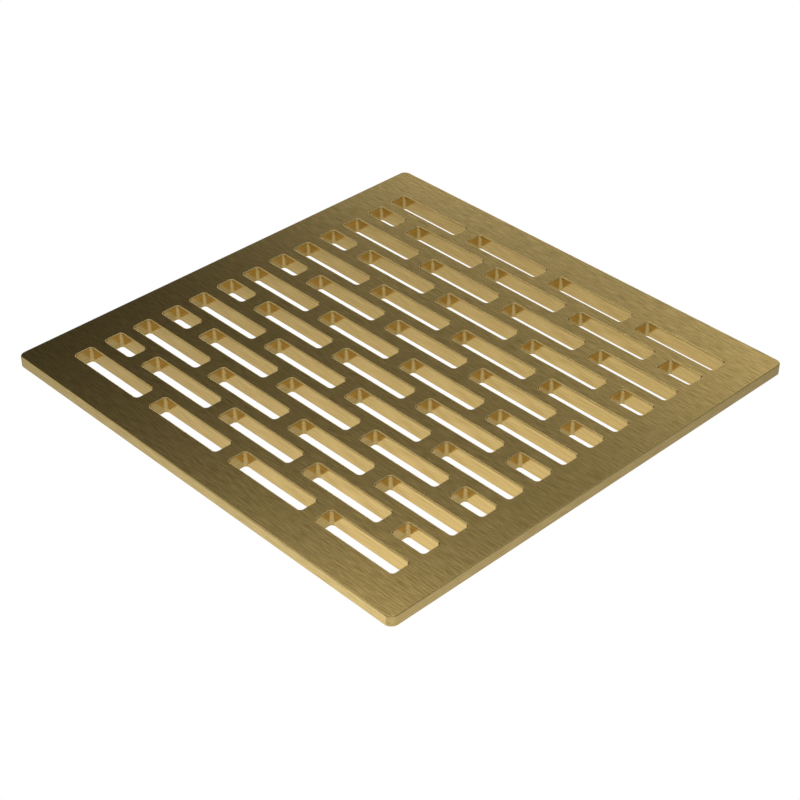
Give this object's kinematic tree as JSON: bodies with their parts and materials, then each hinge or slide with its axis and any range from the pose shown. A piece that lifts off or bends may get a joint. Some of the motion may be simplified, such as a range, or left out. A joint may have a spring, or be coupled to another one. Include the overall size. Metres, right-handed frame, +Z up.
{
  "type": "floor drain grate",
  "caption": "Square brushed-brass drop-in floor drain grate with staggered slots, stepped underside, hold-down magnets and soft rim strips.",
  "frame": {"origin": "centre of the plate in plan, on the underside of its slotted panel", "axes": "+Z up out of the floor, +X along the slots, +Y across the rows of slots"},
  "size_m": [0.15, 0.15, 0.0048],
  "materials": {
    "brushed_brass": "fine straight brushing along the slots, satin, uncoated",
    "magnet_nickel": "bright nickel plating, slightly satin",
    "soft_strip": "matt black silicone rubber"
  },
  "bodies": {
    "root": {"grate_plate": "brushed_brass", "magnet_front_left": "magnet_nickel", "magnet_front_right": "magnet_nickel", "magnet_back_left": "magnet_nickel", "magnet_back_right": "magnet_nickel", "rim_strip_left": "soft_strip", "rim_strip_right": "soft_strip", "rim_strip_front": "soft_strip", "rim_strip_back": "soft_strip"}
  },
  "joints": []
}
